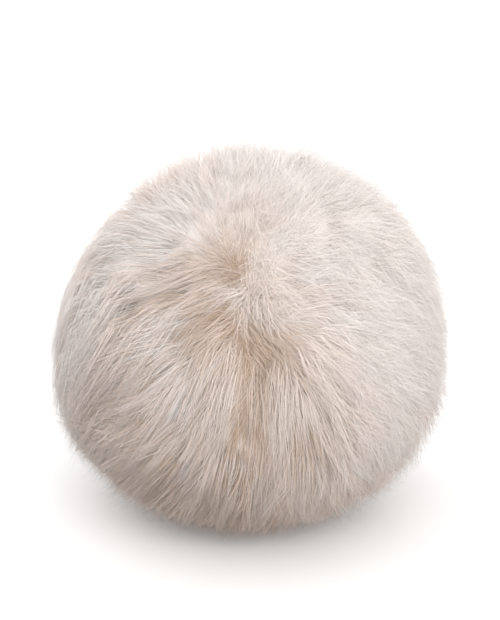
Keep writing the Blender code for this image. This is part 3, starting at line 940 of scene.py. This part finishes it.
studKnob = {
    "brightColour": (0.46, 0.36, 0.13, 1),
    "darkColour": (0.10, 0.07, 0.03, 1),
    "pits": 1100.0,
    "relief": 0.00005,
    "rubbed": (0.00005, 0.0005),    # heights between which it turns bright
    "rub": (0.45, 0.85),
}

springWire = {
    "brightColour": (0.30, 0.26, 0.16, 1),
    "darkColour": (0.05, 0.04, 0.03, 1),
    "pits": 1500.0,
    "relief": 0.0,
    "rub": 0.5,
}


def weldedCopy(node, name, material, sharpAngle):
    # a copy of a solid with its loose triangles joined, shaded round where it is round
    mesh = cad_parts[node].data.copy()
    welded = bmesh.new()
    welded.from_mesh(mesh)
    bmesh.ops.remove_doubles(welded, verts=welded.verts, dist=1e-6)
    welded.to_mesh(mesh)
    welded.free()
    mesh.shade_smooth()
    mesh.set_sharp_from_angle(angle=math.radians(sharpAngle))
    mesh.materials.clear()
    mesh.materials.append(material)
    piece = bpy.data.objects.new(name, mesh)
    bpy.context.scene.collection.objects.link(piece)
    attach(piece, "root")
    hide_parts(node)
    return piece


def rubOfPlate(tree, place):
    # a ramp over the distance from the upright axis: the root of the squares of x and y
    parts = addNode(tree, "ShaderNodeSeparateXYZ", {"Vector": place}).outputs
    squares = [calc(tree, "MULTIPLY", parts[axis], parts[axis]) for axis in ("X", "Y")]
    radius = calc(tree, "SQRT", calc(tree, "ADD", *squares))
    return ramp(tree, radius, *studPlate["rubbed"], *studPlate["rub"])


def rubOfKnob(tree, place):
    # a ramp over the height
    height = addNode(tree, "ShaderNodeSeparateXYZ", {"Vector": place}).outputs["Z"]
    return ramp(tree, height, *studKnob["rubbed"], *studKnob["rub"])


def metalMaterial(name, tarnish, look, rubOf=None):
    # tarnished metal over Object coordinates, rubbed evenly or by a function of the place
    material, tree, shader = newMaterial(name)
    place = addNode(tree, "ShaderNodeTexCoord").outputs["Object"]
    finish = useGroup(tree, tarnish, {
        "Vector": place,
        "Metal Colour": look["brightColour"],
        "Dark Colour": look["darkColour"],
        "Rub": rubOf(tree, place) if rubOf else look["rub"],
        "Scale": look["pits"],
    })
    applyFinish(tree, shader, finish)
    shader.inputs["Metallic"].default_value = 1.0
    if look["relief"]:
        addRelief(tree, shader, finish.outputs["Height"], look["relief"], 0.6)
    return material


def buildStud(tarnish):
    # the plate, the knob and both wires, each over its solid
    dark = metalMaterial("darkBronze", tarnish, studPlate, rubOfPlate)
    weldedCopy("stud_plate", "studPlate", dark, 35)
    brass = metalMaterial("antiqueBrass", tarnish, studKnob, rubOfKnob)
    weldedCopy("stud_knob", "studKnob", brass, 50)
    wire = metalMaterial("springWire", tarnish, springWire)
    for side in ("left", "right"):
        weldedCopy("spring_" + side, "springWire_" + side, wire, 60)
    print("stud ready")


# the cloth patch behind the stud, and the thread in its slots

patchFelt = {
    "lightColour": (0.86, 0.81, 0.75, 1),
    "shadeColour": (0.69, 0.61, 0.53, 1),
    "fineness": 1200.0,
    "relief": 0.0002,
}

stitchYarn = {
    "lightColour": (0.86, 0.85, 0.83, 1),
    "shadeColour": (0.55, 0.53, 0.50, 1),
    "paintedGrooveShade": (0.24, 0.22, 0.20, 1),
    "fineness": 2200.0,
    "plies": 620.0,
    "relief": 0.0002,
}


def fibres(tree, felt, look):
    # the felt group over Object coordinates, with its place
    place = addNode(tree, "ShaderNodeTexCoord").outputs["Object"]
    matted = useGroup(tree, felt, {
        "Vector": place,
        "Light Colour": look["lightColour"],
        "Shade Colour": look["shadeColour"],
        "Scale": look["fineness"],
    })
    return place, matted.outputs["Colour"], matted.outputs["Height"]


def feltMaterial(felt):
    # matted fibres with their relief
    material, tree, shader = newMaterial("backingFelt")
    place, colour, height = fibres(tree, felt, patchFelt)
    tree.links.new(colour, shader.inputs["Base Color"])
    shader.inputs["Roughness"].default_value = 0.95
    addRelief(tree, shader, height, patchFelt["relief"], 0.8)
    return material


def threadMaterial(felt):
    # fibres twisted into plies: a slanting wave, low in its grooves, with painted shade darkening them
    material, tree, shader = newMaterial("stitchThread")
    place, colour, height = fibres(tree, felt, stitchYarn)
    plies = addNode(tree, "ShaderNodeTexWave", {
        "Vector": place,
        "Scale": stitchYarn["plies"],
        "Distortion": 1.6,
        "Detail": 2.0,
        "Detail Scale": 1.2,
    }, bands_direction="DIAGONAL").outputs["Fac"]
    # painted shade in the grooves between the plies
    toned = mixColour(tree, ramp(tree, plies, 0.0, 0.6, 0.75, 0.0), colour, stitchYarn["paintedGrooveShade"])
    tree.links.new(toned, shader.inputs["Base Color"])
    shader.inputs["Roughness"].default_value = 0.8
    raised = calc(tree, "ADD", plies, calc(tree, "MULTIPLY", height, 0.3))
    addRelief(tree, shader, raised, stitchYarn["relief"])
    return material


def buildCloth(felt):
    # the patch as a welded copy of its solid, and one stitch in each of the four slots
    patch = weldedCopy("backing_patch", "backingPatch", feltMaterial(felt), 60)
    yarn = threadMaterial(felt)
    for side in ("back", "left", "front", "right"):
        weldedCopy("stitch_" + side, "stitch_" + side + "_thread", yarn, 60)
    print("patch and stitches ready")


buildStudio()
pileTone = pileToneGroup()
buildUnderfur(pileTone)
buildHair(pileTone)
buildStud(tarnishGroup())
buildCloth(feltGroup())
